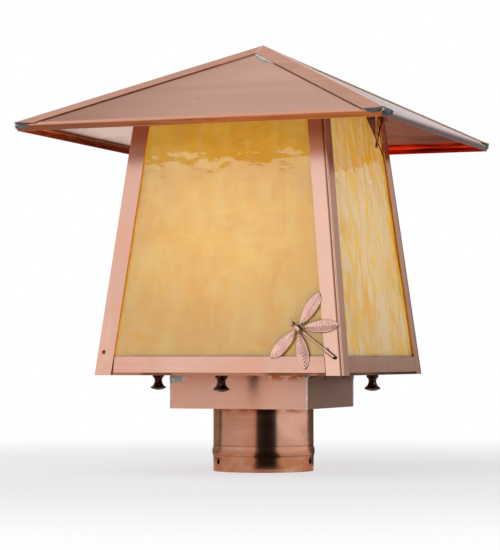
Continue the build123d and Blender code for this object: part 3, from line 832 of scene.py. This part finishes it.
wireLook = {
    "radius": 0.66, "twistRadius": 0.55, "turns": 1.4, "twistSteps": 30, "pathSteps": 8,
    "pinStrand": ((75.2, 75.1, 292.3), (82.4, 75.1, 292.3), (83.2, 72.0, 291.8), (83.1, 60.0, 289.6),
                  (83.4, 56.0, 286.6), (83.9, 44.6, 272.0)),
    "railStrand": ((74.1, 41.6, 301.7), (83.0, 41.6, 301.7), (84.8, 41.0, 299.4), (84.9, 38.9, 290.0),
                   (84.4, 39.4, 272.0)),
    "knot": (83.9, 41.0, 267.6), "end": (83.9, 39.2, 262.3)}


def smoothPath(points, steps):
    # evenly stepped curve through the points
    path = []
    for k in range(len(points) - 1):
        a, b = points[max(k - 1, 0)], points[k]
        c, d = points[k + 1], points[min(k + 2, len(points) - 1)]
        for step in range(steps):
            t = step / steps
            path.append(0.5 * (2 * b + (c - a) * t + (2 * a - 5 * b + 4 * c - d) * t * t
                               + (3 * b - a - 3 * c + d) * t ** 3))
    return path


def makeWireTie(hand, look=wireLook):
    mirror = 1 if hand == "right" else -1
    knot, end = Vector(look["knot"]), Vector(look["end"])
    axis = (end - knot).normalized()
    spoke = axis.cross(Vector((0, 1, 0))).normalized()

    def strand(phase, points):
        def twisted(share):
            turn = Matrix.Rotation(phase + 2 * pi * look["turns"] * share, 3, axis)
            return knot.lerp(end, share) + turn @ spoke * look["twistRadius"]

        twist = stepped(look["twistSteps"], twisted)
        path = smoothPath([Vector(point) for point in points] + twist[:2], look["pathSteps"])
        path = path[:-look["pathSteps"]] + twist
        return tube([(Vector((mirror * p.x, p.y, p.z)) * mm, look["radius"]) for p in path])

    wire = joined(strand(0.0, look["pinStrand"]), strand(pi, look["railStrand"]))
    piece = addPiece("twisted_wire_" + hand, wire, wireCopper, "head", "copper_wire")
    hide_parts("wire_tie_" + hand)


for hand in ("right", "left"):
    makeWireTie(hand)
print("wires twisted")


# Places on the roof

roof = {"pitch": radians(25.75), "capLeg": 12.7, "capTop": 0.9, "fold": 272.1, "capShort": 0.1}
roof["corner"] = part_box("hip_cap_front_right")[1].x / mm
roof["half"] = roof["corner"] + roof["capShort"]
roof["apex"] = roof["fold"] + roof["half"] * tan(roof["pitch"])


def onRoof(quarter, across, down, above):
    # point on a roof panel: millimetres across, down the slope from the apex and off the sheet
    y = -down * cos(roof["pitch"]) - above * sin(roof["pitch"])
    z = roof["apex"] - down * sin(roof["pitch"]) + above * cos(roof["pitch"])
    return turnedBy(quarter, across, y, z)


def roofFacing(quarter):
    return (onRoof(quarter, 0, 50, 1) - onRoof(quarter, 0, 50, 0)).normalized()


# The hip cap's edge on a panel: the hip's run on the sheet, moved in by the cap's width

capEdge = {"along": Vector((cos(roof["pitch"]), 1)).normalized()}
capEdge["away"] = Vector((-capEdge["along"].y, capEdge["along"].x)) * roof["capLeg"]
capEdge["first"] = -capEdge["away"].x / capEdge["along"].x
capEdge["last"] = (roof["half"] / cos(roof["pitch"]) - capEdge["away"].y) / capEdge["along"].y


def onCapEdge(quarter, hand, run, aside, above):
    place = capEdge["away"] + capEdge["along"] * run
    place += capEdge["away"].normalized() * aside
    return onRoof(quarter, hand * place.x, place.y, above)


# Solder along the hip caps' edges, thicker towards the eaves

seamLook = {
    "thin": 0.16, "thick": 0.36, "lump": 0.07, "shortLump": 3.0, "longLump": 9.0, "flat": 0.6, "steps": 90,
    "starts": {1: 37.0, -1: 36.0}, "stop": 1.5, "aside": 0.2, "above": 0.1,
    "apart": 5.0, "seeds": (0.5, 7.5)}


def makeSeams(quarter, look=seamLook):
    last = capEdge["last"] - look["stop"]

    def seam(hand):
        first = capEdge["first"] + look["starts"][hand]

        def at(share):
            run = first + (last - first) * share
            lump = wobble(run / look["shortLump"], look["apart"] * hand, quarter + look["seeds"][0])
            lump += wobble(run / look["longLump"], hand, quarter + look["seeds"][1])
            radius = look["thin"] + (look["thick"] - look["thin"]) * share + look["lump"] * lump
            return onCapEdge(quarter, hand, run, look["aside"] * radius, look["above"]), radius
        return bead(look, at, 10, (roofFacing(quarter), look["flat"]))

    seams = joined(seam(1), seam(-1))
    addPiece("hip_solder_" + sides[quarter], seams, seamSolder, "roof", "copper_roof", 60.0)


# Near the apex: pale solder, which paints the highlights, beside one cap and on the mitre of the two, and
# a grey puddle below it

apexLook = {
    "lengths": {1: 38.0, -1: 34.0}, "radii": {1: 0.75, -1: 0.5}, "fine": 0.12, "flat": 0.35, "start": 0.6,
    "fade": 0.6, "aside": 0.7, "above": 0.15, "steps": 24}
mitreLook = {"radius": 0.38, "slim": 0.5, "start": 1.5, "over": 0.5, "flat": 0.6, "steps": 12}
puddleLook = {
    "from": 2.0, "to": 34.0, "radius": 1.6, "least": 0.1, "aside": 0.4, "above": 0.1, "flat": 0.05,
    "fullness": 0.8, "steps": 24}


def makeApexSolder(quarter):
    facing = roofFacing(quarter)

    def edgeRun(hand, look=apexLook):
        # along a cap's edge, thinning away from the apex
        def at(share):
            radius = look["fine"] + (look["radii"][hand] - look["fine"]) * (1 - share) ** look["fade"]
            run = capEdge["first"] + look["start"] + share * look["lengths"][hand]
            return onCapEdge(quarter, hand, run, look["aside"] * radius, look["above"]), radius
        return bead(look, at, 12, (facing, look["flat"]))

    def mitre(share):
        foot = capEdge["away"].y + capEdge["along"].y * capEdge["first"] + mitreLook["over"]
        down = mitreLook["start"] + (foot - mitreLook["start"]) * share
        radius = mitreLook["radius"] * (mitreLook["slim"] + (1 - mitreLook["slim"]) * share)
        return onRoof(quarter, 0, down, roof["capTop"]), radius

    def puddle(share, look=puddleLook):
        radius = look["least"] + look["radius"] * max(sin(pi * share), 0.0) ** look["fullness"]
        run = capEdge["first"] + look["from"] + share * (look["to"] - look["from"])
        return onCapEdge(quarter, 1, run, look["aside"] + radius, look["above"]), radius

    mitreRun = bead(mitreLook, mitre, 10, (facing, mitreLook["flat"]))
    puddleRun = bead(puddleLook, puddle, 12, (facing, puddleLook["flat"]))
    # the other cap is closed with copper
    runs = {"solder_": (joined(edgeRun(1), mitreRun), highlightSolder), "fillet_": (edgeRun(-1), capCopper),
            "puddle_": (puddleRun, solder)}
    for name, run in runs.items():
        addPiece("apex_" + name + sides[quarter], *run, "roof", "copper_roof", 60.0)


def cornerPatch(quarter, look, spot):
    # thin patches on both sides of a corner: spot(side, down, share, back) gives run, out and level
    def patch(side):
        def point(i, j, back):
            run, out, level = spot(side, i / look["rows"], j / look["columns"], back)
            place = (run, -out) if side == 0 else (out, -run)
            return turnedBy(quarter, *place, level)
        return slab(look, point)
    return joined(patch(0), patch(1))


# Solder that fills the eave corners under the caps' ends, with a drop of pale solder down the corner's
# edge that paints its highlight;
# a tear in its lower edge is its size, its count along the edge and its seed

skirtLook = {
    "lengths": ((15, 24), (8, 7), (9, 8), (9, 12)), "depths": ((3.8, 5.6), (4, 4), (4, 4), (4, 4.6)),
    "least": 0.4, "tears": ((0.16, 5.0, 4.2), (0.08, 14.0, 9.1)), "seed": 0.37, "outline": (2.5, 0.6),
    "proud": 0.27, "upper": 0.15, "top": 0.5, "crest": 0.9, "back": 0.9, "lean": 0.24,
    "rows": 8, "columns": 26}
dropLook = {
    "radius": 0.75, "slim": 0.35, "blunt": 0.1, "inset": 0.3, "start": 0.6, "fall": 3.2, "ahead": 0.5,
    "steps": 8}


def makeSkirts(quarter):
    def spot(side, down, share, back, look=skirtLook):
        place = 2 * quarter + side + look["seed"]
        reach = max(1 - share ** look["outline"][0], 0.0) ** look["outline"][1]
        for size, count, seed in look["tears"]:
            reach += size * wobble(share * count, place, seed)
        depth = look["depths"][quarter][side] * reach + look["least"]
        fall = depth * down
        bulge = look["proud"] * sin(pi * (look["upper"] + (1 - look["upper"]) * down))
        out = roof["corner"] - look["lean"] * fall + (-look["back"] if back else bulge)
        run = roof["corner"] - share * look["lengths"][quarter][side]
        run -= look["back"] if back and share == 0 else 0.0
        return run, out, roof["fold"] + look["top"] + look["crest"] * (1 - share) ** 2 - fall

    def drop(share, look=dropLook):
        fall = look["fall"] * share
        out = roof["corner"] - look["inset"] - skirtLook["lean"] * (look["ahead"] + fall)
        swell = sin(pi * (look["blunt"] + (1 - 2 * look["blunt"]) * share))
        radius = look["radius"] * (look["slim"] + (1 - look["slim"]) * swell)
        return turnedBy(quarter, out, -out, roof["fold"] + look["start"] - fall), radius

    skirt = cornerPatch(quarter, skirtLook, spot)
    addPiece("eave_solder_" + corners[quarter], skirt, eaveSolder, "roof", "copper_roof", 50.0)
    run = bead(dropLook, drop)
    addPiece("eave_bead_" + corners[quarter], run, highlightSolder, "roof", "copper_roof", 60.0)


for quarter in range(4):
    makeSeams(quarter)
    makeApexSolder(quarter)
    makeSkirts(quarter)
print("roof soldered")


# Box seams: a bead down each corner and a smear where it meets the base plate

boxLook = {
    "bead": 0.55, "sink": 0.30, "lump": 0.15, "lumpLength": 2.5, "lumpSeed": 2.2, "steps": 36,
    "thick": 0.35, "thin": 0.15, "back": 0.3, "least": 0.15, "ragged": (0.2, 6.0, 3.3), "apart": 4.0,
    "seed": 0.61, "rows": 8, "columns": 18,
    "smears": (((4, 3.5), (7, 3)), ((9, 5), (6, 4)), ((8, 5), (7, 4)), ((8, 5), (15, 6.5)))}


def makeBoxSolder(quarter, look=boxLook):
    low, high = (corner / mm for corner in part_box("box_walls"))
    half, top = high.x, cage["bottom"]

    def run(share):
        level = low.z + (top - low.z) * share
        lump = look["lump"] * wobble(level / look["lumpLength"], quarter, look["lumpSeed"])
        place = turnedBy(quarter, half - look["sink"], look["sink"] - half, level)
        return place, look["bead"] + lump

    def spot(side, down, share, back):
        wide, tall = look["smears"][quarter][side]
        size, count, seed = look["ragged"]
        ragged = size * wobble(share * count, quarter + look["apart"] * side + look["seed"], seed)
        depth = max(tall * (sqrt(1 - share ** 2) + ragged), look["least"])
        swell = sin(pi * down) * (1 - share)
        out = half - look["back"] if back else half + look["thick"] * (look["thin"] + swell)
        return half - share * wide, out, top - depth * down

    addPiece("box_bead_" + corners[quarter], bead(look, run), highlightSolder, "base", "copper_base", 60.0)
    smears = cornerPatch(quarter, look, spot)
    addPiece("box_solder_" + corners[quarter], smears, solder, "base", "copper_base", 60.0)


for quarter in range(4):
    makeBoxSolder(quarter)


# Solder dot that holds the tail to the post

dotLook = {
    "along": 27.6, "aside": 1.1, "out": 1.5, "radius": 1.25, "longer": 1.3, "lump": 0.22, "lumpScale": 1.3,
    "seed": (0.3, 0.1, 4.0)}


def makeTailDot(look=dotLook):
    ball = bmesh.new()
    bmesh.ops.create_icosphere(ball, subdivisions=3, radius=look["radius"])
    verts = []
    for v in ball.verts:
        spot = v.co * (1.0 + look["lump"] * noise.noise(v.co * look["lumpScale"] + Vector(look["seed"])))
        verts.append(onOrnament(
            look["along"] + look["longer"] * spot.x, look["aside"] + spot.y, look["out"] + spot.z))
    faces = [tuple(v.index for v in f.verts) for f in ball.faces]
    ball.free()
    addPiece("tail_solder", (verts, faces), solder, "head", "copper_ornament", 80.0)


makeTailDot()
print("solder added")


# Finishes of the CAD nodes

finishes = {
    "post_collar": collarCopper, "box_walls": boxCopper, "box_floor": boxCopper, "base_plate": plateCopper,
    "threaded_tube": lampBrass, "lower_locknut": steel, "upper_locknut": steel, "lamp_holder": porcelain,
    "screw_shell": lampBrass, "center_contact": lampBrass, "lamp_tip": lampBrass, "lamp_cap": lampBrass,
    "lamp_bulb": lampGlass, "glass_clips": frameX, "screw_nuts": steel}
for quarter, side in enumerate(sides):
    finishes["roof_panel_" + side] = roofCopper[quarter]
    finishes["bottom_rail_" + side] = finishes["top_rail_" + side] = (frameX, frameY)[quarter % 2]
    finishes["thumb_screw_" + side] = finishes["screw_washer_" + side] = bronze
for quarter, corner in enumerate(corners):
    finishes["corner_post_" + corner] = postCopper[quarter]
    finishes["hip_cap_" + corner] = capCopper
for hand in ("right", "left"):
    finishes["roof_lug_" + hand] = frameX
for name, finish in finishes.items():
    nodes[name].data.materials.clear()
    nodes[name].data.materials.append(finish)
print("CAD nodes finished")


# Stage: pale floor that runs out to white, cards for the copper to mirror, and soft light

white = (1, 1, 1, 1)
floorLook = {"size": 16.0, "paint": (0.9, 0.9, 0.9, 1), "glow": 0.66, "near": 0.25, "far": 0.8}


def makeFloor(look=floorLook):
    bpy.ops.mesh.primitive_plane_add(size=look["size"], location=(0, 0, 0))
    floor = bpy.context.object
    floor.name = "floor"
    material = newMaterial("pale_floor")
    share = ramp(lengthOf(coords()[0]), look["near"], look["far"], look["glow"])
    paint = addNode("BsdfDiffuse", {"Color": look["paint"]})
    glow = addNode("Emission", {"Color": white, "Strength": 1.0})
    finishTree(addNode("MixShader", {0: share, 1: paint.outputs[0], 2: glow.outputs[0]}))
    floor.data.materials.append(material)


# Each card is an upright arc round the lantern, and most also lie on the floor, from near to far.
# A card goes from its first tone to its second by the first of its levels, and to white from the other on.

def grey(level):
    return (level,) * 3


cardLook = {"radius": 3.2, "apart": 0.02, "steps": 24, "lift": 0.002, "higher": 0.2, "whiteAt": 0.97}
cards = {
    "card_by_camera": {
        "span": (4, 50), "height": 1.9, "tones": (grey(0.012), grey(0.012)), "levels": (0.8, 0.8),
        "floor": (0.051, 3.2)},
    "card_behind_right": {
        "span": (140, 189), "height": 0.38, "tones": (grey(0.13), grey(0.16)), "levels": (0.5, 0.5),
        "floor": (0.06, 3.2)},
    "card_right_band": {
        "span": (147, 174), "height": 0.95, "tones": (grey(0.07), grey(0.42)), "levels": (0.4, 0.8),
        "floor": None},
    "card_left_line": {
        "span": (-99, -88), "height": 0.6, "tones": (grey(0.05), grey(0.2)), "levels": (0.4, 0.4),
        "floor": (0.12, 3.0)},
    "card_behind_left": {
        "span": (-141, -99), "height": 0.6, "tones": (grey(0.37), grey(0.4)), "levels": (0.4, 0.4),
        "floor": (0.12, 3.0)},
    "card_front_left": {
        "span": (-86, 4), "height": 0.85, "tones": ((0.74, 0.62, 0.56), (0.78, 0.76, 0.74)),
        "levels": (0.4, 0.4), "floor": (0.1, 3.0)}}


def makeCard(order, name, look):
    radius = cardLook["radius"] - cardLook["apart"] * order
    lift = cardLook["lift"] * (1 + cardLook["higher"] * order)
    steps, height = cardLook["steps"], look["height"]
    start, stop = look["span"]

    def strip(*edges):
        verts = []
        for step in range(steps + 1):
            turn = radians(start + (stop - start) * step / steps)
            verts += [(away * sin(turn), -away * cos(turn), level) for away, level in edges]
        return verts, [(a, a + 1, a + 3, a + 2) for a in range(0, 2 * steps, 2)]

    strips = [strip((radius, lift), (radius, height))]
    if look["floor"]:
        strips.append(strip(*((edge, lift) for edge in look["floor"])))
    card = addMesh(name, joined(*strips), newMaterial(name))
    level = parts(coords()[0])["Z"]
    shade = wash(*look["tones"], level, 0.0, look["levels"][0] * height)
    shade = wash(shade, grey(1.0), level, look["levels"][1] * height, cardLook["whiteAt"] * height)
    finishTree(addNode("Emission", {"Color": shade}))
    card.visible_camera = card.visible_diffuse = card.visible_shadow = False


# The world is white to the eye and in mirrors, and lights the part softly

worldPowers = (0.32, 1.0)


def makeWorld():
    world = startTree(bpy.data.worlds.new("studio"))
    bpy.context.scene.world = world
    seen = addNode("LightPath").outputs
    mirrored = maths("MAXIMUM", seen["Is Glossy Ray"], seen["Is Transmission Ray"])
    share = maths("MAXIMUM", seen["Is Camera Ray"], mirrored)
    soft, bright = (addNode("Background", {"Color": white, "Strength": power}) for power in worldPowers)
    finishTree(addNode("MixShader", {0: share, 1: soft.outputs[0], 2: bright.outputs[0]}), "World")


lamps = {
    "floor_soft": {"place": (0.0, 0.0, 0.003), "size": 6.0, "power": 178.0},
    "top_soft": {"place": (-0.6, -0.8, 2.8), "size": 2.0, "power": 24.0}}
lampAim = Vector((0, 0, 0.2))


def makeLamp(name, look):
    light = bpy.data.lights.new(name, "AREA")
    light.size = look["size"]
    light.energy = look["power"]
    lamp = addObject(name, light)
    lamp.location = look["place"]
    lamp.rotation_euler = (lampAim - Vector(look["place"])).to_track_quat("-Z", "Y").to_euler()
    lamp.visible_camera = lamp.visible_glossy = False  # the copper mirrors the white studio, not the lamps


cameraLook = {
    "place": (0.6266, -1.6757, 0.0908), "azimuth": 20.849, "pitch": 2.154, "roll": -0.03, "lens": 144.46,
    "sensor": 36.0}


def makeCamera():
    turn, pitch, roll = (radians(cameraLook[angle]) for angle in ("azimuth", "pitch", "roll"))
    ahead = Vector((-sin(turn) * cos(pitch), cos(turn) * cos(pitch), sin(pitch)))
    data = bpy.data.cameras.new("camera")
    data.lens = cameraLook["lens"]
    data.sensor_width = cameraLook["sensor"]
    camera = addObject("camera", data)
    level = ahead.to_track_quat("-Z", "Y").to_matrix()
    camera.rotation_euler = (level @ Matrix.Rotation(roll, 3, "Z")).to_euler()
    camera.location = cameraLook["place"]
    bpy.context.scene.camera = camera


makeFloor()
for order, name in enumerate(cards):
    makeCard(order, name, cards[name])
makeWorld()
for name, look in lamps.items():
    makeLamp(name, look)
makeCamera()
bpy.context.scene.view_settings.view_transform = "Standard"
print("stage set")
